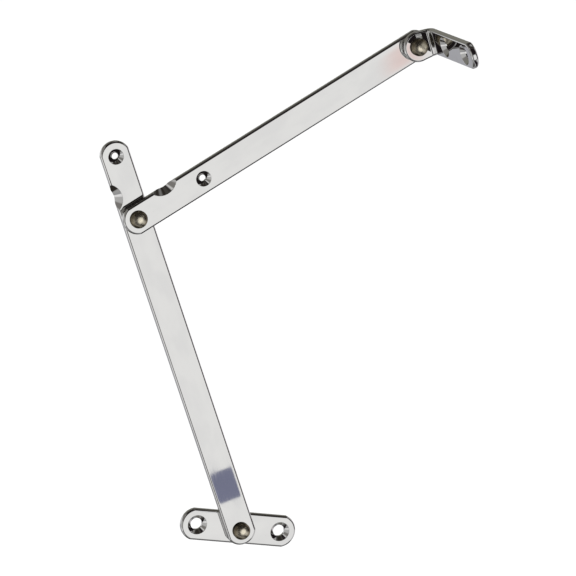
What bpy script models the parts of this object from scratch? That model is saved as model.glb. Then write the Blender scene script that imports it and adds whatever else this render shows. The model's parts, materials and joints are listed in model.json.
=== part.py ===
"""Friction stay hinge for a window sash.

Two flat steel arms join at an elbow pivot. The lower arm turns on a base plate
that is screwed to the window frame, and the upper arm carries an angle bracket
that is screwed to the sash. Each pivot is a domed rivet in a nylon bush, with a
nylon friction washer between the flat bars and a conical spring washer that
loads it, so that the stay holds the window where it is left.

Axes: +X along the base plate, +Z up, -Y towards the room. The origin is on the
base pivot's axis, at the back face of the base plate. Metres.

The bars are modelled flat on a bench: local x along the bar, local y across it
and local z the height above the mounting face. Empties on the pivots turn the
bench upright and set each arm's angle.
"""

import math

import bmesh
import bpy

MM = 0.001

# Driving dimensions of the bars.
LOWER_PIVOT_SPAN = 150.0 * MM
UPPER_PIVOT_SPAN = 140.5 * MM
ARM_WIDTH = 12.7 * MM
PLATE_WIDTH = 14.2 * MM
BRACKET_WIDTH = 11.4 * MM
BRACKET_END_RADIUS = 6.6 * MM
THICKNESS = 3.0 * MM
EDGE_ROUND = 0.6 * MM
END_RADIUS_EXTRA = 0.3 * MM

# Angles of each piece's long axis above +X, as the stay stands half open.
LOWER_ANGLE = math.radians(118.2)
UPPER_ANGLE = math.radians(39.3)
BRACKET_ANGLE = math.radians(27.5)

# Base plate: screw holes either side of the pivot.
PLATE_SCREW_OFFSET = 19.2 * MM
SCREW_BORE = 2.6 * MM
SCREW_SINK = 4.3 * MM

# Countersunk hole and edge scallop of each arm, measured from the elbow.
LOWER_HOLE_FROM_ELBOW = 27.8 * MM
UPPER_HOLE_FROM_ELBOW = 32.5 * MM
ARM_HOLE_BORE = 1.4 * MM
ARM_HOLE_SINK = 3.3 * MM
LOWER_SCALLOP_FROM_ELBOW = 11.5 * MM
UPPER_SCALLOP_FROM_ELBOW = 16.3 * MM
SCALLOP_RADIUS = 6.9 * MM
SCALLOP_DEPTH = 3.6 * MM

# Sash bracket: leg A lies on the upper arm, leg B stands towards the room.
BEND_START = 4.6 * MM
BEND_INNER_RADIUS = 1.4 * MM
BEND_STEPS = 8
LEG_B_LENGTH = 46.5 * MM
LEG_B_HOLES = (15.0 * MM, 37.5 * MM)

# Pivots.
SHANK_RADIUS = 2.25 * MM
BUSH_OUTER_RADIUS = 3.0 * MM
RUNNING_GAP = 0.08 * MM
AXIAL_GAP = 0.08 * MM
HEAD_RADIUS = 3.8 * MM
HEAD_RIM = 0.35 * MM
HEAD_HEIGHT = 2.4 * MM
TAIL_RADIUS = 3.7 * MM
TAIL_SINK = 1.4 * MM
TAIL_HEAD_RADIUS = 3.4 * MM
TAIL_HEAD_HEIGHT = 1.2 * MM
FRICTION_WASHER_RADIUS = 5.6 * MM
FRICTION_WASHER = 0.6 * MM
SPRING_WASHER_RADIUS = 3.6 * MM
SPRING_WASHER = 0.25 * MM
SPRING_WASHER_RISE = 0.12 * MM
TAIL_WASHER_RADIUS = 4.6 * MM
TAIL_WASHER = 0.5 * MM

# Heights of the stack above the mounting face.
LOWER_Z = THICKNESS + FRICTION_WASHER + 2 * AXIAL_GAP
UPPER_Z = LOWER_Z + THICKNESS + FRICTION_WASHER + 2 * AXIAL_GAP
LEG_A_Z = UPPER_Z + THICKNESS + FRICTION_WASHER + 2 * AXIAL_GAP

# Fineness of the round shapes.
ARC_STEPS = 20
TURN_STEPS = 40
DOME_STEPS = 7
CUTTER_OVERRUN = 1.0 * MM

POLISHED_STEEL = ("polished_steel", (0.80, 0.80, 0.79), 1.0, 0.08)
RIVET_STEEL = ("rivet_steel", (0.80, 0.74, 0.61), 1.0, 0.24)
SPRING_STEEL = ("spring_steel", (0.38, 0.37, 0.36), 1.0, 0.35)
NYLON = ("nylon", (0.86, 0.86, 0.83), 0.0, 0.45)


def clear_scene():
    for obj in list(bpy.data.objects):
        bpy.data.objects.remove(obj, do_unlink=True)


def new_collection(name):
    collection = bpy.data.collections.new(name)
    bpy.context.scene.collection.children.link(collection)
    return collection


clear_scene()
PARTS = new_collection("friction_stay_hinge")
CUTTERS = new_collection("hole_cutters")


def material(spec):
    """The shared Principled material of that name, made the first time it is asked for."""
    name, colour, metallic, roughness = spec
    found = bpy.data.materials.get(name)
    if found:
        return found
    made = bpy.data.materials.new(name)
    made.use_nodes = True
    shader = made.node_tree.nodes["Principled BSDF"]
    shader.inputs["Base Color"].default_value = (*colour, 1.0)
    shader.inputs["Metallic"].default_value = metallic
    shader.inputs["Roughness"].default_value = roughness
    return made


def pivot(name, parent, location, turn=0.0, tip=0.0):
    """An empty on a joint's axis: turn is about its own z, tip stands the bench up."""
    empty = bpy.data.objects.new(name, None)
    empty.empty_display_size = 0.01
    empty.parent = parent
    empty.location = location
    empty.rotation_euler = (tip, 0.0, turn)
    PARTS.objects.link(empty)
    return empty


def add_part(name, mesh, parent, spec, location=(0.0, 0.0, 0.0)):
    part = bpy.data.objects.new(name, mesh)
    part.parent = parent
    part.location = location
    PARTS.objects.link(part)
    mesh.materials.clear()
    mesh.materials.append(material(spec))
    return part


def smooth(mesh):
    mesh.shade_smooth()
    mesh.set_sharp_from_angle(angle=math.radians(35.0))


def arc(centre_x, radius, start, end, steps):
    """Points on an arc about a point of the bar's centre line, both ends included."""
    angles = (start + (end - start) * step / steps for step in range(steps + 1))
    return [(centre_x + radius * math.cos(a), radius * math.sin(a)) for a in angles]


def round_end(centre_x, width, facing):
    """A bar's round end, which faces along x (0) or back along it (pi). Its radius is a
    little over half the width, so that it meets the long edges at a slight corner."""
    radius = 0.5 * width + END_RADIUS_EXTRA
    half = math.asin(0.5 * width / radius)
    return arc(centre_x, radius, facing - half, facing + half, ARC_STEPS)


def bar_outline(start_x, end_x, width):
    return round_end(end_x, width, 0.0) + round_end(start_x, width, math.pi)


def bracket_outline(end_x, taper_x):
    """A bar whose first end is a wider round one about x = 0. Its edges touch that circle
    and close in to the bar's width at taper_x."""
    half_width = 0.5 * BRACKET_WIDTH
    touch = math.atan2(half_width, taper_x)
    touch += math.acos(BRACKET_END_RADIUS / math.hypot(taper_x, half_width))
    points = round_end(end_x, BRACKET_WIDTH, 0.0) + [(taper_x, half_width)]
    points += arc(0.0, BRACKET_END_RADIUS, touch, 2.0 * math.pi - touch, 2 * ARC_STEPS)
    return points + [(taper_x, -half_width)]


def flat_blank(name, outline, thickness, z):
    """A mesh of the outline as a plate of this thickness, its underside at height z."""
    curve = bpy.data.curves.new(name, "CURVE")
    curve.dimensions = "2D"
    curve.fill_mode = "BOTH"
    curve.extrude = 0.5 * thickness
    spline = curve.splines.new("POLY")
    spline.points.add(len(outline) - 1)
    for point, (x, y) in zip(spline.points, outline):
        point.co = (x, y, 0.0, 1.0)
    spline.use_cyclic_u = True
    guide = bpy.data.objects.new(name + "_outline", curve)
    CUTTERS.objects.link(guide)
    graph = bpy.context.evaluated_depsgraph_get()
    mesh = bpy.data.meshes.new_from_object(guide.evaluated_get(graph))
    bpy.data.objects.remove(guide, do_unlink=True)
    mesh.name = name
    work = bmesh.new()
    work.from_mesh(mesh)
    bmesh.ops.remove_doubles(work, verts=work.verts, dist=0.001 * MM)
    bmesh.ops.dissolve_limit(work, angle_limit=math.radians(0.5), verts=work.verts, edges=work.edges)
    bmesh.ops.translate(work, verts=work.verts, vec=(0.0, 0.0, z + 0.5 * thickness))
    work.to_mesh(mesh)
    work.free()
    return mesh


def round_edges(part):
    bevel = part.modifiers.new("edge_round", "BEVEL")
    bevel.width = EDGE_ROUND
    bevel.segments = 2
    bevel.limit_method = "ANGLE"
    bevel.angle_limit = math.radians(45.0)


def turned_mesh(name, profile, steps=TURN_STEPS):
    """The profile turned about z. Its points (radius, height) run down the outer side."""
    mesh = bpy.data.meshes.new(name)
    work = bmesh.new()
    ring = [work.verts.new((radius, 0.0, height)) for radius, height in profile]
    for upper, lower in zip(ring, ring[1:]):
        work.edges.new((upper, lower))
    if profile[0][0] > 0.0:
        work.edges.new((ring[-1], ring[0]))
    work.to_mesh(mesh)
    work.free()
    guide = bpy.data.objects.new(name + "_profile", mesh)
    CUTTERS.objects.link(guide)
    screw = guide.modifiers.new("turn", "SCREW")
    screw.axis = "Z"
    screw.steps = steps
    screw.render_steps = steps
    screw.use_merge_vertices = True
    screw.merge_threshold = 0.001 * MM
    graph = bpy.context.evaluated_depsgraph_get()
    turned = bpy.data.meshes.new_from_object(guide.evaluated_get(graph))
    bpy.data.objects.remove(guide, do_unlink=True)
    turned.name = name
    smooth(turned)
    return turned


def cut(part, name, profile, location, tilt=0.0):
    """Cuts a turned shape out of the part, at a place in the part's own frame."""
    cutter = bpy.data.objects.new(name, turned_mesh(name, profile))
    cutter.parent = part.parent
    cutter.location = location
    cutter.rotation_euler = (0.0, tilt, 0.0)
    cutter.hide_render = True
    cutter.display_type = "WIRE"
    CUTTERS.objects.link(cutter)
    boolean = part.modifiers.new(name, "BOOLEAN")
    boolean.operation = "DIFFERENCE"
    boolean.solver = "EXACT"
    boolean.object = cutter


def bore_profile(radius, depth):
    """A plain through hole, from a face at z = 0 down through a plate of that depth."""
    top = CUTTER_OVERRUN
    bottom = -depth - CUTTER_OVERRUN
    return [(0.0, top), (radius, top), (radius, bottom), (0.0, bottom)]


def sunk_profile(bore, sink, depth):
    """A through hole with a 90 degree countersink of radius sink at the face z = 0."""
    top = CUTTER_OVERRUN
    bottom = -depth - CUTTER_OVERRUN
    return [(0.0, top), (sink + top, top), (bore, bore - sink), (bore, bottom), (0.0, bottom)]


def scallop_profile(radius, depth):
    """A 90 degree cone that is radius wide at the face z = 0 and narrows below it."""
    top = CUTTER_OVERRUN
    bottom = -depth - CUTTER_OVERRUN
    return [(0.0, top), (radius + top, top), (radius + bottom, bottom), (0.0, bottom)]


def cut_scallop(part, name, x, face_z):
    """The scallop in the arm's left edge, seen from its face with the elbow at the left."""
    centre_y = 0.5 * ARM_WIDTH + SCALLOP_RADIUS - SCALLOP_DEPTH
    cut(part, name, scallop_profile(SCALLOP_RADIUS, THICKNESS), (x, centre_y, face_z))


def base_plate(bench):
    outline = bar_outline(-PLATE_SCREW_OFFSET, PLATE_SCREW_OFFSET, PLATE_WIDTH)
    part = add_part("base_plate", flat_blank("base_plate", outline, THICKNESS, 0.0), bench, POLISHED_STEEL)
    round_edges(part)
    for side, x in (("left", -PLATE_SCREW_OFFSET), ("right", PLATE_SCREW_OFFSET)):
        profile = sunk_profile(SCREW_BORE, SCREW_SINK, THICKNESS)
        cut(part, f"plate_{side}_screw_hole", profile, (x, 0.0, THICKNESS))
    cut_flush_tail_seat(part, "plate_rivet_seat", 0.0, 0.0)


def cut_flush_tail_seat(part, name, x, back_z):
    """The hole for a rivet whose tail is closed flush into the back face at back_z."""
    bore = SHANK_RADIUS + RUNNING_GAP
    sink = TAIL_RADIUS + RUNNING_GAP
    top = THICKNESS + CUTTER_OVERRUN
    neck = TAIL_SINK + RUNNING_GAP
    low = -CUTTER_OVERRUN
    profile = [(0.0, top), (bore, top), (bore, neck), (sink, 0.0), (sink, low), (0.0, low)]
    cut(part, name, profile, (x, 0.0, back_z))


def lower_arm(base_pivot):
    tip = LOWER_PIVOT_SPAN + LOWER_HOLE_FROM_ELBOW
    outline = bar_outline(0.0, tip, ARM_WIDTH)
    blank = flat_blank("lower_arm", outline, THICKNESS, LOWER_Z)
    part = add_part("lower_arm", blank, base_pivot, POLISHED_STEEL)
    round_edges(part)
    face = LOWER_Z + THICKNESS
    bush_bore = BUSH_OUTER_RADIUS + RUNNING_GAP
    shank_bore = SHANK_RADIUS + RUNNING_GAP
    cut(part, "lower_base_bore", bore_profile(bush_bore, THICKNESS), (0.0, 0.0, face))
    cut(part, "lower_elbow_bore", bore_profile(shank_bore, THICKNESS), (LOWER_PIVOT_SPAN, 0.0, face))
    tip_hole = sunk_profile(ARM_HOLE_BORE, ARM_HOLE_SINK, THICKNESS)
    cut(part, "lower_tip_hole", tip_hole, (tip, 0.0, face))
    scallop_x = LOWER_PIVOT_SPAN + LOWER_SCALLOP_FROM_ELBOW
    cut_scallop(part, "lower_scallop", scallop_x, face)


def upper_arm(elbow_pivot):
    outline = bar_outline(0.0, UPPER_PIVOT_SPAN, ARM_WIDTH)
    blank = flat_blank("upper_arm", outline, THICKNESS, UPPER_Z)
    part = add_part("upper_arm", blank, elbow_pivot, POLISHED_STEEL)
    round_edges(part)
    face = UPPER_Z + THICKNESS
    bush_bore = BUSH_OUTER_RADIUS + RUNNING_GAP
    cut(part, "upper_elbow_bore", bore_profile(bush_bore, THICKNESS), (0.0, 0.0, face))
    cut_flush_tail_seat(part, "upper_rivet_seat", UPPER_PIVOT_SPAN, UPPER_Z)
    side_hole = sunk_profile(ARM_HOLE_BORE, ARM_HOLE_SINK, THICKNESS)
    cut(part, "upper_side_hole", side_hole, (UPPER_HOLE_FROM_ELBOW, 0.0, face))
    cut_scallop(part, "upper_scallop", UPPER_SCALLOP_FROM_ELBOW, face)


def bend_up(mesh, start_x, inner_radius, top_z):
    """Bends the strip beyond start_x up by a right angle about a line above its top face."""
    neutral = inner_radius + 0.5 * THICKNESS
    length = 0.5 * math.pi * neutral
    axis_z = top_z + inner_radius
    work = bmesh.new()
    work.from_mesh(mesh)
    for step in range(BEND_STEPS + 1):
        everything = work.verts[:] + work.edges[:] + work.faces[:]
        place = (start_x + length * step / BEND_STEPS, 0.0, 0.0)
        bmesh.ops.bisect_plane(work, geom=everything, plane_co=place, plane_no=(1.0, 0.0, 0.0))
    for vert in work.verts:
        run = vert.co.x - start_x
        if run <= 0.0:
            continue
        turn = min(run / length, 1.0) * 0.5 * math.pi
        radius = axis_z - vert.co.z
        beyond = max(run - length, 0.0)
        vert.co.x = start_x + radius * math.sin(turn)
        vert.co.z = axis_z - radius * math.cos(turn) + beyond
    work.to_mesh(mesh)
    work.free()


def sash_bracket(sash_pivot):
    """An angle: leg A on the upper arm, then a bend, then leg B towards the room."""
    end = 0.5 * BRACKET_WIDTH + END_RADIUS_EXTRA
    top = LEG_A_Z + THICKNESS
    bend_end = BEND_START + 0.5 * math.pi * (BEND_INNER_RADIUS + 0.5 * THICKNESS)
    flat_end = bend_end + LEG_B_LENGTH - BEND_INNER_RADIUS - end
    outline = bracket_outline(flat_end, bend_end)
    blank = flat_blank("sash_bracket", outline, THICKNESS, LEG_A_Z)
    strip = add_part("sash_bracket_strip", blank, sash_pivot, POLISHED_STEEL)
    round_edges(strip)
    graph = bpy.context.evaluated_depsgraph_get()
    formed = bpy.data.meshes.new_from_object(strip.evaluated_get(graph))
    bpy.data.objects.remove(strip, do_unlink=True)
    bend_up(formed, BEND_START, BEND_INNER_RADIUS, top)
    part = add_part("sash_bracket", formed, sash_pivot, POLISHED_STEEL)
    bush_bore = BUSH_OUTER_RADIUS + RUNNING_GAP
    cut(part, "bracket_pivot_bore", bore_profile(bush_bore, THICKNESS), (0.0, 0.0, top))
    inner_face = BEND_START + BEND_INNER_RADIUS
    for number, height in enumerate(LEG_B_HOLES, 1):
        profile = sunk_profile(SCREW_BORE, SCREW_SINK, THICKNESS)
        place = (inner_face, 0.0, top + height)
        cut(part, f"bracket_screw_hole_{number}", profile, place, tilt=math.radians(-90.0))


def dome(under_z):
    """The profile of an elliptical head, from its crown down to its underside at under_z."""
    rise = HEAD_HEIGHT - HEAD_RIM
    shoulder = under_z + HEAD_RIM
    points = [(0.0, shoulder + rise)]
    for step in range(1, DOME_STEPS):
        angle = 0.5 * math.pi * step / DOME_STEPS
        points.append((HEAD_RADIUS * math.sin(angle), shoulder + rise * math.cos(angle)))
    points += [(HEAD_RADIUS, shoulder), (HEAD_RADIUS, under_z), (SHANK_RADIUS, under_z)]
    return points


def flush_rivet(name, parent, x, back_z, head_z):
    """A rivet whose tail is spread flush into a countersink at back_z."""
    tail = back_z + 0.5 * AXIAL_GAP
    profile = dome(head_z)
    profile += [(SHANK_RADIUS, back_z + TAIL_SINK), (TAIL_RADIUS, tail), (0.0, tail)]
    add_part(name, turned_mesh(name, profile), parent, RIVET_STEEL, (x, 0.0, 0.0))


def headed_rivet(name, parent, x, tail_z, head_z):
    """A rivet whose tail is closed to a low cone on a washer at height tail_z."""
    low = tail_z - TAIL_HEAD_HEIGHT
    profile = dome(head_z)
    profile += [(SHANK_RADIUS, tail_z), (TAIL_HEAD_RADIUS, tail_z)]
    profile += [(TAIL_HEAD_RADIUS, tail_z - 0.4 * MM), (0.7 * TAIL_HEAD_RADIUS, low), (0.0, low)]
    add_part(name, turned_mesh(name, profile), parent, RIVET_STEEL, (x, 0.0, 0.0))


def ring(name, parent, x, z, height, outer, inner, spec):
    """A flat washer or a sleeve, its underside at height z."""
    profile = [(inner, z + height), (outer, z + height), (outer, z), (inner, z)]
    add_part(name, turned_mesh(name, profile), parent, spec, (x, 0.0, 0.0))


def friction_washer(name, parent, x, under_z):
    inner = SHANK_RADIUS + 2 * RUNNING_GAP
    ring(name, parent, x, under_z + AXIAL_GAP, FRICTION_WASHER, FRICTION_WASHER_RADIUS, inner, NYLON)


def bush(name, parent, x, z):
    """The nylon sleeve in a bar's bore, a little shorter than the bar is thick."""
    inner = SHANK_RADIUS + RUNNING_GAP
    height = THICKNESS - 2 * AXIAL_GAP
    ring(name, parent, x, z + AXIAL_GAP, height, BUSH_OUTER_RADIUS, inner, NYLON)


def spring_washer(name, parent, x, z):
    """A conical washer, higher at its hole than at its rim."""
    inner = SHANK_RADIUS + RUNNING_GAP
    crown = z + SPRING_WASHER_RISE
    profile = [(inner, crown + SPRING_WASHER), (SPRING_WASHER_RADIUS, z + SPRING_WASHER)]
    profile += [(SPRING_WASHER_RADIUS, z), (inner, crown)]
    add_part(name, turned_mesh(name, profile), parent, SPRING_STEEL, (x, 0.0, 0.0))


def fit_base_pivot(bench, lower_pivot):
    face = LOWER_Z + THICKNESS
    spring_z = face + AXIAL_GAP
    head_z = spring_z + SPRING_WASHER + SPRING_WASHER_RISE + AXIAL_GAP
    flush_rivet("base_rivet", bench, 0.0, 0.0, head_z)
    friction_washer("base_friction_washer", bench, 0.0, THICKNESS)
    spring_washer("base_spring_washer", bench, 0.0, spring_z)
    bush("base_bush", lower_pivot, 0.0, LOWER_Z)


def fit_elbow_pivot(lower_pivot, elbow_pivot):
    x = LOWER_PIVOT_SPAN
    spring_z = LOWER_Z - AXIAL_GAP - SPRING_WASHER - SPRING_WASHER_RISE
    washer_z = spring_z - AXIAL_GAP - TAIL_WASHER
    tail_z = washer_z - AXIAL_GAP
    head_z = UPPER_Z + THICKNESS + AXIAL_GAP
    headed_rivet("elbow_rivet", lower_pivot, x, tail_z, head_z)
    spring_washer("elbow_spring_washer", lower_pivot, x, spring_z)
    inner = SHANK_RADIUS + RUNNING_GAP
    ring("elbow_tail_washer", lower_pivot, x, washer_z, TAIL_WASHER, TAIL_WASHER_RADIUS, inner, POLISHED_STEEL)
    friction_washer("elbow_friction_washer", lower_pivot, x, LOWER_Z + THICKNESS)
    bush("elbow_bush", elbow_pivot, 0.0, UPPER_Z)


def fit_sash_pivot(elbow_pivot, sash_pivot):
    x = UPPER_PIVOT_SPAN
    spring_z = LEG_A_Z + THICKNESS + AXIAL_GAP
    head_z = spring_z + SPRING_WASHER + SPRING_WASHER_RISE + AXIAL_GAP
    flush_rivet("sash_rivet", elbow_pivot, x, UPPER_Z, head_z)
    friction_washer("sash_friction_washer", elbow_pivot, x, UPPER_Z + THICKNESS)
    spring_washer("sash_spring_washer", elbow_pivot, x, spring_z)
    bush("sash_bush", sash_pivot, 0.0, LEG_A_Z)


bench = pivot("mounting_face", None, (0.0, 0.0, 0.0), tip=math.radians(90.0))
lower_pivot = pivot("base_pivot", bench, (0.0, 0.0, 0.0), turn=LOWER_ANGLE)
elbow_place = (LOWER_PIVOT_SPAN, 0.0, 0.0)
elbow_pivot = pivot("elbow_pivot", lower_pivot, elbow_place, turn=UPPER_ANGLE - LOWER_ANGLE)
sash_place = (UPPER_PIVOT_SPAN, 0.0, 0.0)
sash_pivot = pivot("sash_pivot", elbow_pivot, sash_place, turn=BRACKET_ANGLE - UPPER_ANGLE)

base_plate(bench)
lower_arm(lower_pivot)
upper_arm(elbow_pivot)
sash_bracket(sash_pivot)
fit_base_pivot(bench, lower_pivot)
fit_elbow_pivot(lower_pivot, elbow_pivot)
fit_sash_pivot(elbow_pivot, sash_pivot)
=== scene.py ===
"""Looks of the friction stay hinge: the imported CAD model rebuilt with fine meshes.

Each CAD node is replaced by one piece of the same shape and place, with finer
arcs, rounder edges and softened hole mouths, and it rides on the same body.
The bars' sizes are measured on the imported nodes. Metres, +Z up, -Y to the room.
"""

import json
import math

import bmesh
import bpy
from mathutils import Matrix, Vector


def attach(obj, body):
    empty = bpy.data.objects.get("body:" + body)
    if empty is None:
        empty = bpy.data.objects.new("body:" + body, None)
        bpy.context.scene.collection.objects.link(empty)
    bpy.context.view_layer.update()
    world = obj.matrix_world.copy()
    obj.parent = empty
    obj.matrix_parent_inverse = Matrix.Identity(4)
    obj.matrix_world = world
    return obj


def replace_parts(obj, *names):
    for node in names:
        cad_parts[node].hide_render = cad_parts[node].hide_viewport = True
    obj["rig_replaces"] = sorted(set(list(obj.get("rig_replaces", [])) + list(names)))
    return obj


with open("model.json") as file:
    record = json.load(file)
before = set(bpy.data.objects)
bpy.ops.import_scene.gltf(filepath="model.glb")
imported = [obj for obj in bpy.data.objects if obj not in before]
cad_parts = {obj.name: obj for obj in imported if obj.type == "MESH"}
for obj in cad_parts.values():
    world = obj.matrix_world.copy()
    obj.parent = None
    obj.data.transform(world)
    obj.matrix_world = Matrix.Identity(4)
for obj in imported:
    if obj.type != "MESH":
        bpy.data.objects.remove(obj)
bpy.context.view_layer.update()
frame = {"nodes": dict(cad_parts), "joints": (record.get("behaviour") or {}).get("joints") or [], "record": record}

MM = 0.001
QUARTER_TURN = math.radians(90.0)

# Rolled and broken edges. Faces that meet at more than the sharp angle aren't smoothed.
EDGE_ROUND = 1.0 * MM
MOUTH_ROUND = 0.25 * MM
RIM_ROUND = 0.12 * MM
WASHER_ROUND = 0.12 * MM
SLEEVE_ROUND = 0.1 * MM
BACK_CHAMFER = 0.12 * MM
SHARP_ANGLE = math.radians(32.0)

# Fineness of the round shapes, and how far a cutter stands past a face.
EDGE_SEGMENTS = 6
MOUTH_STEPS = 4
ARC_STEPS = 72
TURN_STEPS = 96
DOME_STEPS = 28
BEND_STEPS = 28
FILLET_STEPS = 5
OVERRUN = 1.0 * MM

# Round ends, holes and scallops, as in the CAD. A sink's side slopes at 45 degrees.
END_RADIUS_EXTRA = 0.3 * MM
SINK_SLOPE = math.radians(45.0)
SCREW_BORE = 2.6 * MM
SCREW_SINK = 4.3 * MM
ARM_HOLE_BORE = 1.4 * MM
ARM_HOLE_SINK = 3.3 * MM
UPPER_HOLE_FROM_ELBOW = 32.5 * MM
LOWER_SCALLOP_FROM_ELBOW = 11.5 * MM
UPPER_SCALLOP_FROM_ELBOW = 16.3 * MM
SCALLOP_RADIUS = 6.9 * MM
SCALLOP_DEPTH = 3.6 * MM

# Sash bracket's width, bend and screw holes, as in the CAD.
BRACKET_WIDTH = 11.4 * MM
BEND_START = 4.6 * MM
BEND_INNER_RADIUS = 1.4 * MM
LEG_B_HOLES = (15.0 * MM, 37.5 * MM)

# Rivets, bushes and washers, as in the CAD.
RUNNING_GAP = 0.08 * MM
BUSH_RADIUS = 3.0 * MM
SHANK_RADIUS = 2.25 * MM
HEAD_HEIGHT = 2.4 * MM
HEAD_RIM = 0.35 * MM
TAIL_RADIUS = 3.7 * MM
TAIL_SINK = 1.4 * MM
TAIL_HEAD_RADIUS = 3.4 * MM
TAIL_HEAD_TIP_RADIUS = 0.7 * TAIL_HEAD_RADIUS
TAIL_HEAD_HEIGHT = 1.2 * MM
TAIL_HEAD_RIM = 0.4 * MM
SPRING_WASHER = 0.25 * MM

# Bores and seats, a running gap wider than what turns or lies in them.
BUSH_BORE = BUSH_RADIUS + RUNNING_GAP
SHANK_BORE = SHANK_RADIUS + RUNNING_GAP
TAIL_SEAT = TAIL_RADIUS + RUNNING_GAP
TAIL_SEAT_DEPTH = TAIL_SINK + RUNNING_GAP

RECORD = frame["record"]
SLOT_OF = {row["node"]: row["material_slot"] for row in RECORD["subparts"]}
BODY_OF = {node: body for body, nodes in RECORD["behaviour"]["bodies"].items() for node in nodes}
PIVOTS = {joint["name"]: Vector(joint["pos_m"]) for joint in frame["joints"]}
SASH_FACE_AXIS = next(m["axis"] for m in RECORD["mounts"] if m["name"] == "sash_face")


# ---------------------------------------------------------------- places

def angle_between(start, end):
    return math.atan2(end.z - start.z, end.x - start.x)


def bench_at(pivot, angle):
    """A bar's own frame: x runs along the bar, y across it, z out from the mounting face."""
    stand = Matrix.Rotation(QUARTER_TURN, 4, "X")
    return Matrix.Translation((pivot.x, 0.0, pivot.z)) @ stand @ Matrix.Rotation(angle, 4, "Z")


LOWER_ANGLE = angle_between(PIVOTS["base_pivot"], PIVOTS["elbow_pivot"])
UPPER_ANGLE = angle_between(PIVOTS["elbow_pivot"], PIVOTS["sash_pivot"])
BRACKET_ANGLE = math.atan2(SASH_FACE_AXIS[2], SASH_FACE_AXIS[0])

PLATE_BENCH = bench_at(PIVOTS["base_pivot"], 0.0)
LOWER_BENCH = bench_at(PIVOTS["base_pivot"], LOWER_ANGLE)
ELBOW_BENCH = bench_at(PIVOTS["elbow_pivot"], LOWER_ANGLE)
UPPER_BENCH = bench_at(PIVOTS["elbow_pivot"], UPPER_ANGLE)
SASH_BENCH = bench_at(PIVOTS["sash_pivot"], UPPER_ANGLE)
BRACKET_BENCH = bench_at(PIVOTS["sash_pivot"], BRACKET_ANGLE)
LOWER_SPAN = (PIVOTS["elbow_pivot"] - PIVOTS["base_pivot"]).xz.length
UPPER_SPAN = (PIVOTS["sash_pivot"] - PIVOTS["elbow_pivot"]).xz.length


def extent(node, bench):
    """Lowest and highest corner of a CAD node, in a bench's frame."""
    inward = bench.inverted()
    points = [inward @ vert.co for vert in frame["nodes"][node].data.vertices]
    low = Vector(min(point[axis] for point in points) for axis in range(3))
    high = Vector(max(point[axis] for point in points) for axis in range(3))
    return low, high


# ---------------------------------------------------------------- meshes

def arc(centre, radius, start, end, steps):
    """Points on an arc in a plane, both ends included."""
    angles = (start + (end - start) * step / steps for step in range(steps + 1))
    return [(centre[0] + radius * math.cos(a), centre[1] + radius * math.sin(a)) for a in angles]


def round_end(centre_x, width, facing):
    """A bar's round end, a little wider than the bar, so that slight corners show."""
    radius = 0.5 * width + END_RADIUS_EXTRA
    half = math.asin(0.5 * width / radius)
    return arc((centre_x, 0.0), radius, facing - half, facing + half, ARC_STEPS)


def bar_outline(start_x, end_x, width):
    return round_end(end_x, width, 0.0) + round_end(start_x, width, math.pi)


def bracket_outline(end_x, taper_x, end_radius):
    """A bar whose wider first end, about x = 0, closes in to the bar's width at taper_x."""
    half_width = 0.5 * BRACKET_WIDTH
    touch = math.atan2(half_width, taper_x)
    touch += math.acos(end_radius / math.hypot(taper_x, half_width))
    points = round_end(end_x, BRACKET_WIDTH, 0.0) + [(taper_x, half_width)]
    points += arc((0.0, 0.0), end_radius, touch, 2.0 * math.pi - touch, 2 * ARC_STEPS)
    return points + [(taper_x, -half_width)]


def bar_mesh(name, outline, low_z, high_z):
    """The outline as a plate between two heights, with its edges rolled over."""
    work = bmesh.new()
    ring = [work.verts.new((x, y, low_z)) for x, y in outline]
    base = work.faces.new(ring)
    lifted = bmesh.ops.extrude_face_region(work, geom=[base])["geom"]
    raised = [item for item in lifted if isinstance(item, bmesh.types.BMVert)]
    bmesh.ops.translate(work, verts=raised, vec=(0.0, 0.0, high_z - low_z))
    bmesh.ops.recalc_face_normals(work, faces=work.faces)
    rims = [edge for edge in work.edges if len({vert in raised for vert in edge.verts}) == 1]
    bmesh.ops.bevel(
        work, geom=rims, offset=EDGE_ROUND, segments=EDGE_SEGMENTS, profile=0.5, affect="EDGES"
    )
    mesh = bpy.data.meshes.new(name)
    work.to_mesh(mesh)
    work.free()
    return mesh


def turned_mesh(name, profile, closed=False):
    """The profile of (radius, height) points turned about z. A closed profile makes a ring."""
    work = bmesh.new()
    rows = []
    for radius, height in profile:
        count = TURN_STEPS if radius > 0.0 else 1
        turns = [2.0 * math.pi * step / TURN_STEPS for step in range(count)]
        places = [(radius * math.cos(turn), radius * math.sin(turn), height) for turn in turns]
        rows.append([work.verts.new(place) for place in places])
    pairs = list(zip(rows, rows[1:]))
    if closed:
        pairs.append((rows[-1], rows[0]))
    for upper, lower in pairs:
        for step in range(TURN_STEPS):
            after = (step + 1) % TURN_STEPS
            corners = [upper[step % len(upper)], upper[after % len(upper)]]
            corners += [lower[after % len(lower)], lower[step % len(lower)]]
            work.faces.new(list(dict.fromkeys(corners)))
    bmesh.ops.recalc_face_normals(work, faces=work.faces)
    mesh = bpy.data.meshes.new(name)
    work.to_mesh(mesh)
    work.free()
    mesh.shade_smooth()
    return mesh


def cutter(bench, name, profile, location, tilt=0.0):
    """A turned shape to cut out of a bar, at a place in the bar's own frame."""
    obj = bpy.data.objects.new(name, turned_mesh(name, profile))
    bpy.context.scene.collection.objects.link(obj)
    obj.matrix_world = bench @ Matrix.Translation(location) @ Matrix.Rotation(tilt, 4, "Y")
    return obj


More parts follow.
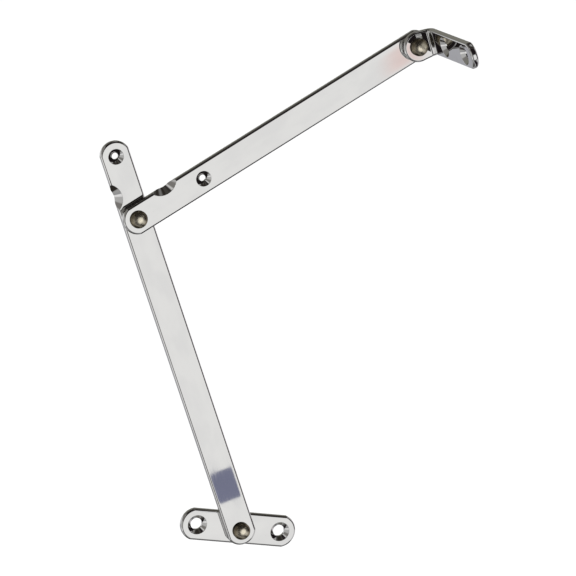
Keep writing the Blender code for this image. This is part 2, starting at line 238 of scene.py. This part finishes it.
def mouth(radius):
    """The rolled mouth of a 90 degree countersink that is radius wide at the face z = 0."""
    reach = MOUTH_ROUND * math.tan(0.5 * SINK_SLOPE)
    points = []
    for step in range(1, MOUTH_STEPS + 1):
        turn = SINK_SLOPE * step / MOUTH_STEPS
        across = radius + reach - MOUTH_ROUND * math.sin(turn)
        points.append((across, MOUTH_ROUND * (math.cos(turn) - 1.0)))
    return [(0.0, OVERRUN), (points[0][0], OVERRUN)] + points


def bore_end(bore, depth):
    """The lower end of a through hole in a bar of that depth, with its edge broken."""
    low = -depth - OVERRUN
    wide = bore + BACK_CHAMFER
    return [(bore, BACK_CHAMFER - depth), (wide, -depth), (wide, low), (0.0, low)]


def sunk_hole(bore, sink, depth):
    return mouth(sink) + [(bore, bore - sink)] + bore_end(bore, depth)


def plain_hole(bore, depth):
    wide = bore + BACK_CHAMFER
    top = [(0.0, OVERRUN), (wide, OVERRUN), (wide, 0.0), (bore, -BACK_CHAMFER)]
    return top + bore_end(bore, depth)


def scallop(depth):
    """The 90 degree cone whose side is a scallop's floor."""
    low = -depth - OVERRUN
    return mouth(SCALLOP_RADIUS) + [(SCALLOP_RADIUS + low, low), (0.0, low)]


def scallop_centre(width):
    """How far the scallop's cone stands from the middle line of a bar of that width."""
    return 0.5 * width + SCALLOP_RADIUS - SCALLOP_DEPTH


def tail_seat(depth):
    """A rivet's hole with its countersink at the back, for a tail that is closed flush."""
    wide = SHANK_BORE + BACK_CHAMFER
    neck = TAIL_SEAT_DEPTH - depth
    top = [(0.0, OVERRUN), (wide, OVERRUN), (wide, 0.0), (SHANK_BORE, -BACK_CHAMFER)]
    low = -depth - OVERRUN
    return top + [(SHANK_BORE, neck), (TAIL_SEAT, -depth), (TAIL_SEAT, low), (0.0, low)]


def carve(obj, cutters):
    """Cuts the cutters out of the object and keeps the result as its own mesh."""
    for shape in cutters:
        boolean = obj.modifiers.new(shape.name, "BOOLEAN")
        boolean.operation = "DIFFERENCE"
        boolean.solver = "EXACT"
        boolean.object = shape
    graph = bpy.context.evaluated_depsgraph_get()
    carved = bpy.data.meshes.new_from_object(obj.evaluated_get(graph))
    obj.modifiers.clear()
    obj.data = carved
    for shape in cutters:
        bpy.data.objects.remove(shape, do_unlink=True)


def place(node, mesh, bench):
    """The piece that stands for a CAD node, on the node's body."""
    obj = bpy.data.objects.new("fine_" + node, mesh)
    bpy.context.scene.collection.objects.link(obj)
    obj.matrix_world = bench
    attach(obj, BODY_OF[node])
    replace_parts(obj, node)
    return obj


def finish_surface(obj):
    """Smooth shading with true flats, and the finish of the piece's slot."""
    obj.data.shade_smooth()
    obj.data.set_sharp_from_angle(angle=SHARP_ANGLE)
    normals = obj.modifiers.new("true_flats", "WEIGHTED_NORMAL")
    normals.weight = 100
    normals.keep_sharp = True
    slot = SLOT_OF[obj["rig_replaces"][0]]
    obj.data.materials.clear()
    obj.data.materials.append(FINISHES[slot])


# ---------------------------------------------------------------- shader nodes

def put(tree, socket, value):
    """Links an output to the socket, or sets the socket's own value."""
    if isinstance(value, bpy.types.NodeSocket):
        tree.links.new(value, socket)
    else:
        socket.default_value = value


def math_node(tree, operation, *values):
    node = tree.nodes.new("ShaderNodeMath")
    node.operation = operation
    for socket, value in zip(node.inputs, values):
        put(tree, socket, value)
    return node.outputs[0]


def dot(tree, vector, axis):
    node = tree.nodes.new("ShaderNodeVectorMath")
    node.operation = "DOT_PRODUCT"
    put(tree, node.inputs[0], vector)
    put(tree, node.inputs[1], axis)
    return node.outputs["Value"]


def ramp(tree, value, from_low, from_high, to_low, to_high, smooth=False):
    node = tree.nodes.new("ShaderNodeMapRange")
    node.interpolation_type = "SMOOTHSTEP" if smooth else "LINEAR"
    for socket, number in zip(node.inputs, (value, from_low, from_high, to_low, to_high)):
        put(tree, socket, number)
    return node.outputs[0]


def blend_colour(tree, factor, first, second):
    node = tree.nodes.new("ShaderNodeMix")
    node.data_type = "RGBA"
    colours = [socket for socket in node.inputs if socket.type == "RGBA"]
    put(tree, node.inputs[0], factor)
    put(tree, colours[0], first if isinstance(first, bpy.types.NodeSocket) else (*first, 1.0))
    put(tree, colours[1], (*second, 1.0))
    return next(socket for socket in node.outputs if socket.type == "RGBA")


def noise(tree, stretch, detail=2.0, roughness=0.5, offset=(0.0, 0.0, 0.0)):
    """Noise in the piece's own frame, with that many features per metre along each axis."""
    where = tree.nodes.new("ShaderNodeTexCoord")
    mapping = tree.nodes.new("ShaderNodeMapping")
    mapping.inputs["Scale"].default_value = stretch
    mapping.inputs["Location"].default_value = offset
    texture = tree.nodes.new("ShaderNodeTexNoise")
    texture.inputs["Scale"].default_value = 1.0
    texture.inputs["Detail"].default_value = detail
    texture.inputs["Roughness"].default_value = roughness
    tree.links.new(where.outputs["Object"], mapping.inputs["Vector"])
    tree.links.new(mapping.outputs["Vector"], texture.inputs["Vector"])
    return texture.outputs[0]


def off_axis(tree):
    """The distance from the piece's own z axis, in metres."""
    where = tree.nodes.new("ShaderNodeTexCoord")
    flat = tree.nodes.new("ShaderNodeVectorMath")
    flat.operation = "MULTIPLY"
    tree.links.new(where.outputs["Object"], flat.inputs[0])
    flat.inputs[1].default_value = (1.0, 1.0, 0.0)
    length = tree.nodes.new("ShaderNodeVectorMath")
    length.operation = "LENGTH"
    tree.links.new(flat.outputs[0], length.inputs[0])
    return length.outputs["Value"]


def bump(tree, height, distance, under=None):
    """A bump of that distance, on top of the normal of another bump."""
    node = tree.nodes.new("ShaderNodeBump")
    node.inputs["Strength"].default_value = 1.0
    node.inputs["Distance"].default_value = distance
    tree.links.new(height, node.inputs["Height"])
    if under:
        tree.links.new(under, node.inputs["Normal"])
    return node.outputs[0]


def new_finish(name, metallic):
    made = bpy.data.materials.new(name)
    made.use_nodes = True
    shader = made.node_tree.nodes["Principled BSDF"]
    shader.inputs["Metallic"].default_value = metallic
    return made, made.node_tree, shader


# ---------------------------------------------------------------- finishes

# A rivet's head carries a painted highlight out to the crown's radius, and painted shade that darkens it towards
# the rim from the shaded radius on.
HIGHLIGHT_RADIUS = 1.2 * MM
SHADED_RIM_RADIUS = 3.4 * MM

# Heights of the polished strip's long waves, and of its buffing lines and marks.
WAVE_HEIGHT = 0.004 * MM
LINE_HEIGHT = 0.00004 * MM


def polished_steel():
    """Mirror-polished strip: buffing lines along the bar, faint haze and handling marks."""
    made, tree, shader = new_finish("polished_steel_look", 1.0)
    lines = noise(tree, (30.0, 2600.0, 2600.0), detail=3.0)
    haze = noise(tree, (70.0, 140.0, 140.0), detail=3.0)
    marks = noise(tree, (900.0, 2200.0, 2200.0), detail=5.0, roughness=0.7, offset=(3.0, 1.0, 2.0))
    waves = noise(tree, (16.0, 45.0, 45.0), detail=1.0)
    clean = ramp(tree, haze, 0.35, 0.7, 0.0, 1.0, smooth=True)
    colour = blend_colour(tree, clean, (0.80, 0.80, 0.79), (0.76, 0.76, 0.755))
    put(tree, shader.inputs["Base Color"], colour)
    scuffs = ramp(tree, marks, 0.68, 0.76, 0.0, 0.06, smooth=True)
    buffed = ramp(tree, lines, 0.35, 0.65, 0.008, 0.018)
    dull = ramp(tree, haze, 0.45, 0.75, 0.0, 0.010, smooth=True)
    roughness = math_node(tree, "ADD", math_node(tree, "ADD", buffed, dull), scuffs)
    put(tree, shader.inputs["Roughness"], roughness)
    wavy = bump(tree, waves, WAVE_HEIGHT)
    lined = bump(tree, lines, LINE_HEIGHT, under=wavy)
    put(tree, shader.inputs["Normal"], bump(tree, marks, LINE_HEIGHT, under=lined))
    return made


def rivet_steel():
    """Warm steel heads with a spinning tool's faint rings, with a painted highlight on the crown and painted shade
    darkening towards the rim.
    """
    made, tree, shader = new_finish("rivet_steel_look", 1.0)
    where = tree.nodes.new("ShaderNodeTexCoord")
    rings = tree.nodes.new("ShaderNodeTexWave")
    rings.wave_type = "RINGS"
    rings.rings_direction = "Z"
    rings.inputs["Scale"].default_value = 700.0
    rings.inputs["Distortion"].default_value = 1.5
    rings.inputs["Detail"].default_value = 2.0
    tree.links.new(where.outputs["Object"], rings.inputs["Vector"])
    mottle = noise(tree, (700.0, 700.0, 700.0), detail=4.0)
    worn = ramp(tree, mottle, 0.35, 0.7, 0.0, 1.0, smooth=True)
    crown = blend_colour(tree, worn, (0.97, 0.90, 0.73), (0.90, 0.83, 0.67))
    # Painted highlight and shade: the head's colour runs from the bright crown out to a dark rim by distance from
    # the axis.
    painted_rim_shade = ramp(tree, off_axis(tree), HIGHLIGHT_RADIUS, SHADED_RIM_RADIUS, 0.0, 1.0, smooth=True)
    put(tree, shader.inputs["Base Color"], blend_colour(tree, painted_rim_shade, crown, (0.25, 0.215, 0.15)))
    spun = ramp(tree, rings.outputs[1], 0.0, 1.0, 0.22, 0.26)
    rough = ramp(tree, mottle, 0.3, 0.75, 0.0, 0.05)
    put(tree, shader.inputs["Roughness"], math_node(tree, "ADD", spun, rough))
    ringed = bump(tree, rings.outputs[1], 0.0015 * MM)
    put(tree, shader.inputs["Normal"], bump(tree, mottle, 0.004 * MM, under=ringed))
    return made


def spring_steel():
    """Dark tempered steel with a faint straw tint where the oil has worn off."""
    made, tree, shader = new_finish("spring_steel_look", 1.0)
    mottle = noise(tree, (600.0, 600.0, 600.0), detail=4.0)
    grain = noise(tree, (5000.0, 5000.0, 5000.0), detail=2.0)
    worn = ramp(tree, mottle, 0.4, 0.65, 0.0, 1.0, smooth=True)
    colour = blend_colour(tree, worn, (0.33, 0.33, 0.34), (0.42, 0.39, 0.34))
    put(tree, shader.inputs["Base Color"], colour)
    put(tree, shader.inputs["Roughness"], ramp(tree, mottle, 0.3, 0.7, 0.28, 0.42))
    put(tree, shader.inputs["Normal"], bump(tree, grain, 0.002 * MM))
    return made


def nylon():
    """Natural nylon: off-white, slightly mottled, with a fine moulded skin."""
    made, tree, shader = new_finish("nylon_look", 0.0)
    mottle = noise(tree, (400.0, 400.0, 400.0), detail=3.0)
    skin = noise(tree, (6000.0, 6000.0, 6000.0), detail=2.0)
    aged = ramp(tree, mottle, 0.35, 0.7, 0.0, 1.0, smooth=True)
    colour = blend_colour(tree, aged, (0.86, 0.86, 0.82), (0.80, 0.79, 0.73))
    put(tree, shader.inputs["Base Color"], colour)
    put(tree, shader.inputs["Roughness"], ramp(tree, mottle, 0.3, 0.7, 0.38, 0.5))
    put(tree, shader.inputs["Normal"], bump(tree, skin, 0.003 * MM))
    return made


FINISHES = {
    "polished_steel": polished_steel(),
    "rivet_steel": rivet_steel(),
    "spring_steel": spring_steel(),
    "nylon": nylon(),
}


# ---------------------------------------------------------------- bars

def base_plate():
    low, high = extent("base_plate", PLATE_BENCH)
    width, depth = high.y - low.y, high.z - low.z
    reach = high.x - 0.5 * width - END_RADIUS_EXTRA
    outline = bar_outline(-reach, reach, width)
    obj = place("base_plate", bar_mesh("base_plate", outline, low.z, high.z), PLATE_BENCH)
    holes = [
        cutter(PLATE_BENCH, "screw_hole", sunk_hole(SCREW_BORE, SCREW_SINK, depth), (x, 0.0, high.z))
        for x in (-reach, reach)
    ]
    holes.append(cutter(PLATE_BENCH, "rivet_seat", tail_seat(depth), (0.0, 0.0, high.z)))
    carve(obj, holes)
    finish_surface(obj)


def lower_arm():
    low, high = extent("lower_arm", LOWER_BENCH)
    width, depth, face = high.y - low.y, high.z - low.z, high.z
    tip = high.x - 0.5 * width - END_RADIUS_EXTRA
    outline = bar_outline(0.0, tip, width)
    obj = place("lower_arm", bar_mesh("lower_arm", outline, low.z, face), LOWER_BENCH)
    scallop_place = (LOWER_SPAN + LOWER_SCALLOP_FROM_ELBOW, scallop_centre(width), face)
    tip_hole = sunk_hole(ARM_HOLE_BORE, ARM_HOLE_SINK, depth)
    carve(obj, [
        cutter(LOWER_BENCH, "base_bore", plain_hole(BUSH_BORE, depth), (0.0, 0.0, face)),
        cutter(LOWER_BENCH, "elbow_bore", plain_hole(SHANK_BORE, depth), (LOWER_SPAN, 0.0, face)),
        cutter(LOWER_BENCH, "tip_hole", tip_hole, (tip, 0.0, face)),
        cutter(LOWER_BENCH, "edge_scallop", scallop(depth), scallop_place),
    ])
    finish_surface(obj)


def upper_arm():
    low, high = extent("upper_arm", UPPER_BENCH)
    width, depth, face = high.y - low.y, high.z - low.z, high.z
    outline = bar_outline(0.0, UPPER_SPAN, width)
    obj = place("upper_arm", bar_mesh("upper_arm", outline, low.z, face), UPPER_BENCH)
    scallop_place = (UPPER_SCALLOP_FROM_ELBOW, scallop_centre(width), face)
    side_hole = sunk_hole(ARM_HOLE_BORE, ARM_HOLE_SINK, depth)
    carve(obj, [
        cutter(UPPER_BENCH, "elbow_bore", plain_hole(BUSH_BORE, depth), (0.0, 0.0, face)),
        cutter(UPPER_BENCH, "rivet_seat", tail_seat(depth), (UPPER_SPAN, 0.0, face)),
        cutter(UPPER_BENCH, "side_hole", side_hole, (UPPER_HOLE_FROM_ELBOW, 0.0, face)),
        cutter(UPPER_BENCH, "edge_scallop", scallop(depth), scallop_place),
    ])
    finish_surface(obj)


def bend_up(mesh, top_z, depth):
    """Bends the strip beyond BEND_START up by a right angle about a line above its face."""
    length = 0.5 * math.pi * (BEND_INNER_RADIUS + 0.5 * depth)
    axis_z = top_z + BEND_INNER_RADIUS
    work = bmesh.new()
    work.from_mesh(mesh)
    for step in range(BEND_STEPS + 1):
        everything = work.verts[:] + work.edges[:] + work.faces[:]
        cut_place = (BEND_START + length * step / BEND_STEPS, 0.0, 0.0)
        bmesh.ops.bisect_plane(work, geom=everything, plane_co=cut_place, plane_no=(1.0, 0.0, 0.0))
    for vert in work.verts:
        run = vert.co.x - BEND_START
        if run <= 0.0:
            continue
        turn = min(run / length, 1.0) * 0.5 * math.pi
        radius = axis_z - vert.co.z
        beyond = max(run - length, 0.0)
        vert.co.x = BEND_START + radius * math.sin(turn)
        vert.co.z = axis_z - radius * math.cos(turn) + beyond
    work.to_mesh(mesh)
    work.free()


def sash_bracket():
    """An angle: leg A lies on the upper arm, and leg B stands towards the room."""
    low, high = extent("sash_bracket", BRACKET_BENCH)
    inner_face = BEND_START + BEND_INNER_RADIUS
    depth = high.x - inner_face
    top = low.z + depth
    bend_end = BEND_START + 0.5 * math.pi * (BEND_INNER_RADIUS + 0.5 * depth)
    straight = high.z - top - BEND_INNER_RADIUS
    end = bend_end + straight - 0.5 * BRACKET_WIDTH - END_RADIUS_EXTRA
    mesh = bar_mesh("sash_bracket", bracket_outline(end, bend_end, -low.x), low.z, top)
    bend_up(mesh, top, depth)
    obj = place("sash_bracket", mesh, BRACKET_BENCH)
    holes = [cutter(BRACKET_BENCH, "pivot_bore", plain_hole(BUSH_BORE, depth), (0.0, 0.0, top))]
    for height in LEG_B_HOLES:
        profile = sunk_hole(SCREW_BORE, SCREW_SINK, depth)
        spot = (inner_face, 0.0, top + height)
        holes.append(cutter(BRACKET_BENCH, "screw_hole", profile, spot, tilt=-QUARTER_TURN))
    carve(obj, holes)
    finish_surface(obj)


# ---------------------------------------------------------------- pivots

def domed_head(radius, top):
    """The profile of an elliptical head, from its crown down to its underside."""
    rise = HEAD_HEIGHT - HEAD_RIM
    under = top - HEAD_HEIGHT
    rim_centre = (radius - RIM_ROUND, under + RIM_ROUND)
    points = [(0.0, top)]
    for step in range(1, DOME_STEPS):
        turn = 0.5 * math.pi * step / DOME_STEPS
        points.append((radius * math.sin(turn), top - rise * (1.0 - math.cos(turn))))
    points.append((radius, under + HEAD_RIM))
    points += arc(rim_centre, RIM_ROUND, 0.0, -QUARTER_TURN, FILLET_STEPS)
    return points + [(SHANK_RADIUS, under)]


def flush_rivet(node, bench):
    """A rivet whose tail is spread flush into a countersink."""
    low, high = extent(node, bench)
    neck = low.z + TAIL_SINK - 0.5 * RUNNING_GAP
    profile = domed_head(high.x, high.z)
    profile += [(SHANK_RADIUS, neck), (TAIL_RADIUS, low.z), (0.0, low.z)]
    finish_surface(place(node, turned_mesh(node, profile), bench))


def headed_rivet(node, bench):
    """A rivet whose tail is closed to a low cone behind the arm."""
    low, high = extent(node, bench)
    tail = low.z + TAIL_HEAD_HEIGHT
    rim_centre = (TAIL_HEAD_RADIUS - RIM_ROUND, tail - RIM_ROUND)
    profile = domed_head(high.x, high.z)
    profile += [(SHANK_RADIUS, tail)]
    profile += arc(rim_centre, RIM_ROUND, QUARTER_TURN, 0.0, FILLET_STEPS)
    profile += [(TAIL_HEAD_RADIUS, tail - TAIL_HEAD_RIM)]
    profile += [(TAIL_HEAD_TIP_RADIUS, low.z), (0.0, low.z)]
    finish_surface(place(node, turned_mesh(node, profile), bench))


def ring(node, bench, inner, fillet):
    """A flat washer or a sleeve with its four edges rounded."""
    low, high = extent(node, bench)
    near, far = inner + fillet, high.x - fillet
    floor, top = low.z + fillet, high.z - fillet
    half_turn = 2.0 * QUARTER_TURN
    profile = arc((far, top), fillet, QUARTER_TURN, 0.0, FILLET_STEPS)
    profile += arc((far, floor), fillet, 0.0, -QUARTER_TURN, FILLET_STEPS)
    profile += arc((near, floor), fillet, -QUARTER_TURN, -half_turn, FILLET_STEPS)
    profile += arc((near, top), fillet, half_turn, QUARTER_TURN, FILLET_STEPS)
    finish_surface(place(node, turned_mesh(node, profile, closed=True), bench))


def spring_washer(node, bench):
    """A conical washer, higher at its hole than at its rim."""
    low, high = extent(node, bench)
    profile = [(SHANK_BORE, high.z), (high.x, low.z + SPRING_WASHER)]
    profile += [(high.x, low.z), (SHANK_BORE, high.z - SPRING_WASHER)]
    finish_surface(place(node, turned_mesh(node, profile, closed=True), bench))


def fit_pivots():
    flush_rivet("base_rivet", PLATE_BENCH)
    headed_rivet("elbow_rivet", ELBOW_BENCH)
    flush_rivet("sash_rivet", SASH_BENCH)
    benches = {"base": PLATE_BENCH, "elbow": ELBOW_BENCH, "sash": SASH_BENCH}
    for pivot, bench in benches.items():
        spring_washer(pivot + "_spring_washer", bench)
        ring(pivot + "_friction_washer", bench, SHANK_BORE + RUNNING_GAP, WASHER_ROUND)
    ring("base_bush", LOWER_BENCH, SHANK_BORE, SLEEVE_ROUND)
    ring("elbow_bush", UPPER_BENCH, SHANK_BORE, SLEEVE_ROUND)
    ring("sash_bush", BRACKET_BENCH, SHANK_BORE, SLEEVE_ROUND)
    ring("elbow_tail_washer", ELBOW_BENCH, SHANK_BORE, SLEEVE_ROUND)


base_plate()
lower_arm()
upper_arm()
sash_bracket()
fit_pivots()


# ---------------------------------------------------------------- studio

# Soft boxes, cards and dark flags that the steel reflects, each painted over the ones
# before it: (azimuth, elevation, half width, half height, softness, tilt, corners, colour).
# Angles are in degrees. Azimuth 0 is the room side, -Y, and 90 is +X. Softness is the share
# of the size over which the edge fades, and corners is 2 for an ellipse and more for a
# squarer card.
SOFT_BOXES = {
    "back_wall": (180.0, 5.0, 70.0, 42.0, 0.25, 0.0, 2.0, (0.21, 0.205, 0.18)),
    "back_strip": (180.0, -18.0, 62.0, 20.0, 0.40, 0.0, 2.0, (0.42, 0.42, 0.45)),
    "back_card": (180.0, -7.0, 75.0, 11.0, 0.25, 0.0, 4.0, (0.70, 0.70, 0.71)),
    "right_box": (104.0, 6.0, 24.0, 40.0, 0.25, 0.0, 2.0, (0.62, 0.58, 0.61)),
    "black_flag": (30.0, 0.0, 58.0, 48.0, 0.12, 0.0, 2.0, (0.014, 0.011, 0.012)),
    "high_flag": (-15.0, 36.0, 52.0, 22.0, 0.15, 0.0, 2.0, (0.014, 0.011, 0.012)),
    "low_flag": (30.0, -40.0, 92.0, 6.5, 0.15, 0.0, 4.0, (0.016, 0.012, 0.016)),
    "high_card": (42.0, 25.0, 9.0, 6.0, 0.50, 0.0, 2.0, (0.42, 0.415, 0.41)),
    "steep_card": (90.0, 46.0, 22.0, 8.0, 0.50, 0.0, 2.0, (0.45, 0.44, 0.44)),
    "top_card": (0.0, 90.0, 360.0, 12.0, 0.50, 0.0, 2.0, (0.40, 0.395, 0.39)),
    "floor_card": (-90.0, -66.0, 45.0, 7.0, 0.50, 0.0, 2.0, (0.40, 0.395, 0.39)),
    "bend_card": (-62.0, -41.0, 30.0, 8.0, 0.20, 0.0, 4.0, (0.88, 0.87, 0.87)),
    "under_card": (-15.0, -45.5, 12.0, 5.0, 0.50, 0.0, 2.0, (0.36, 0.355, 0.36)),
    "left_strip": (-66.0, -20.0, 40.0, 15.5, 0.35, 0.0, 2.0, (0.50, 0.495, 0.49)),
    "right_card": (66.0, -19.5, 23.0, 12.0, 0.20, 0.0, 4.0, (0.60, 0.595, 0.60)),
    "left_lamp": (-64.0, 28.0, 8.0, 6.0, 0.80, 0.0, 2.0, (0.70, 0.69, 0.68)),
    "key_box": (20.0, -9.0, 21.0, 21.0, 0.22, 0.0, 2.0, (0.915, 0.910, 0.905)),
    "pink_card": (21.53, -4.95, 0.36, 0.46, 0.80, 0.0, 2.0, (0.890, 0.735, 0.710)),
    "blue_card": (19.42, -14.224, 0.52, 0.325, 0.05, 28.8, 12.0, (0.205, 0.214, 0.31)),
}

# The room that shows between them in the reflections, by elevation, and the elevations in
# degrees between which one shade turns into the next. It is dark straight up and down.
ROOM_ABOVE = (0.06, 0.056, 0.05)
ROOM_LEVEL = (0.22, 0.21, 0.20)
ROOM_BELOW = (0.36, 0.36, 0.365)
ROOM_STEEP = (0.03, 0.026, 0.022)
LEVEL_TO_ABOVE = (15.0, 42.0)
LEVEL_TO_BELOW = (-18.0, -42.0)
SLANTED_TO_STEEP = (62.0, 67.0)

# Brightness of the plain white room that the camera and diffuse light see.
WHITE_ROOM = 1.15


def turned_by(tree, along, aside, angle):
    """The coordinate along a card's own axis, which is turned by that angle."""
    kept = math_node(tree, "MULTIPLY", along, math.cos(angle))
    gained = math_node(tree, "MULTIPLY", aside, math.sin(angle))
    return math_node(tree, "ADD", kept, gained)


def reach_share(tree, distance, half, corners):
    """The distance as a share of a card's half size, raised to the power of its corners."""
    share = math_node(tree, "ABSOLUTE", math_node(tree, "DIVIDE", distance, math.radians(half)))
    return math_node(tree, "POWER", share, corners)


def soft_box_mask(tree, direction, elevation, box):
    """One inside the soft box and nought outside, by the direction of the light."""
    azimuth, height, half_width, half_height, softness, tilt, corners = box
    turn = math.radians(azimuth)
    across = dot(tree, direction, (math.cos(turn), math.sin(turn), 0.0))
    ahead = dot(tree, direction, (math.sin(turn), -math.cos(turn), 0.0))
    swing = math_node(tree, "ARCTAN2", across, ahead)
    rise = math_node(tree, "SUBTRACT", elevation, math.radians(height))
    along = turned_by(tree, swing, rise, math.radians(tilt))
    beside = turned_by(tree, rise, swing, -math.radians(tilt))
    wide = reach_share(tree, along, half_width, corners)
    tall = reach_share(tree, beside, half_height, corners)
    reach = math_node(tree, "POWER", math_node(tree, "ADD", wide, tall), 1.0 / corners)
    return ramp(tree, reach, 1.0 - softness, 1.0 + softness, 1.0, 0.0, smooth=True)


def turning(tree, elevation, limits):
    """Nought at the first of two elevations in degrees, and one at the second."""
    start, end = (math.radians(limit) for limit in limits)
    return ramp(tree, elevation, start, end, 0.0, 1.0, smooth=True)


def painted_room(tree):
    """The colour that a reflection finds in each direction."""
    where = tree.nodes.new("ShaderNodeTexCoord").outputs["Generated"]
    unit = tree.nodes.new("ShaderNodeVectorMath")
    unit.operation = "NORMALIZE"
    tree.links.new(where, unit.inputs[0])
    direction = unit.outputs[0]
    elevation = math_node(tree, "ARCSINE", dot(tree, direction, (0.0, 0.0, 1.0)))
    above = turning(tree, elevation, LEVEL_TO_ABOVE)
    below = turning(tree, elevation, LEVEL_TO_BELOW)
    steep = turning(tree, math_node(tree, "ABSOLUTE", elevation), SLANTED_TO_STEEP)
    colour = blend_colour(tree, above, ROOM_LEVEL, ROOM_ABOVE)
    colour = blend_colour(tree, below, colour, ROOM_BELOW)
    colour = blend_colour(tree, steep, colour, ROOM_STEEP)
    for *box, shade in SOFT_BOXES.values():
        mask = soft_box_mask(tree, direction, elevation, box)
        colour = blend_colour(tree, mask, colour, shade)
    return colour


def studio_world():
    """A white room for the camera and for diffuse light, and the painted one for reflections."""
    world = bpy.data.worlds.new("studio")
    world.use_nodes = True
    bpy.context.scene.world = world
    tree = world.node_tree
    tree.nodes.clear()
    reflected = tree.nodes.new("ShaderNodeBackground")
    tree.links.new(painted_room(tree), reflected.inputs["Color"])
    white = tree.nodes.new("ShaderNodeBackground")
    white.inputs["Color"].default_value = (1.0, 1.0, 1.0, 1.0)
    white.inputs["Strength"].default_value = WHITE_ROOM
    path = tree.nodes.new("ShaderNodeLightPath")
    choose = tree.nodes.new("ShaderNodeMixShader")
    tree.links.new(path.outputs["Is Glossy Ray"], choose.inputs[0])
    tree.links.new(white.outputs[0], choose.inputs[1])
    tree.links.new(reflected.outputs[0], choose.inputs[2])
    output = tree.nodes.new("ShaderNodeOutputWorld")
    tree.links.new(choose.outputs[0], output.inputs["Surface"])


FLOOR_HEIGHT = -0.5
FLOOR_RADIUS = 30.0

LOOK_AT = Vector((0.0018, -0.0057, 0.1095))

LIGHT_DISTANCE = 1.3
LIGHT_SIZE = 0.6
LIGHT_POWER = 4.0
LIGHT_AZIMUTH = math.radians(4.0)
LIGHT_ELEVATION = math.radians(14.0)

CAMERA_DISTANCE = 1.2
CAMERA_AZIMUTH = math.radians(-20.0)
CAMERA_ELEVATION = math.radians(10.0)
CAMERA_ROLL = math.radians(10.17)
CAMERA_LENS = 174.0
CAMERA_CLIP_END = 100.0


def pale_floor():
    """A plain pale floor well below the stay, out of the reflections."""
    profile = [(0.0, 0.0), (FLOOR_RADIUS, 0.0)]
    floor = bpy.data.objects.new("floor", turned_mesh("floor", profile))
    bpy.context.scene.collection.objects.link(floor)
    floor.location.z = FLOOR_HEIGHT
    made, tree, shader = new_finish("pale_floor", 0.0)
    tone = ramp(tree, noise(tree, (2.0, 2.0, 2.0)), 0.3, 0.7, 0.0, 1.0)
    colour = blend_colour(tree, tone, (0.95, 0.95, 0.95), (0.93, 0.93, 0.93))
    put(tree, shader.inputs["Base Color"], colour)
    put(tree, shader.inputs["Roughness"], ramp(tree, tone, 0.0, 1.0, 0.85, 0.95))
    floor.data.materials.append(made)
    floor.visible_glossy = False


def direction_to(azimuth, elevation):
    level = math.cos(elevation)
    return Vector((math.sin(azimuth) * level, -math.cos(azimuth) * level, math.sin(elevation)))


def soft_light():
    """A soft disc light in front, for the washers and the floor. The steel mirrors the world's."""
    data = bpy.data.lights.new("key_light", "AREA")
    data.shape = "DISK"
    data.size = LIGHT_SIZE
    data.energy = LIGHT_POWER
    light = bpy.data.objects.new("key_light", data)
    bpy.context.scene.collection.objects.link(light)
    aim = direction_to(LIGHT_AZIMUTH, LIGHT_ELEVATION)
    light.location = LOOK_AT + aim * LIGHT_DISTANCE
    light.rotation_mode = "QUATERNION"
    light.rotation_quaternion = aim.to_track_quat("Z", "Y")
    light.visible_camera = False
    light.visible_glossy = False


def photo_camera():
    """Up and to the left of the stay, turned a little about its line of sight."""
    back = direction_to(CAMERA_AZIMUTH, CAMERA_ELEVATION)
    level = Vector((math.cos(CAMERA_AZIMUTH), math.sin(CAMERA_AZIMUTH), 0.0))
    upright = back.cross(level)
    right = level * math.cos(CAMERA_ROLL) + upright * math.sin(CAMERA_ROLL)
    data = bpy.data.cameras.new("photo_camera")
    data.lens = CAMERA_LENS
    data.clip_end = CAMERA_CLIP_END
    camera = bpy.data.objects.new("photo_camera", data)
    bpy.context.scene.collection.objects.link(camera)
    turn = Matrix((right, back.cross(right), back)).transposed().to_4x4()
    camera.matrix_world = Matrix.Translation(LOOK_AT + back * CAMERA_DISTANCE) @ turn
    bpy.context.scene.camera = camera


studio_world()
pale_floor()
soft_light()
photo_camera()
bpy.context.scene.view_settings.view_transform = "Standard"
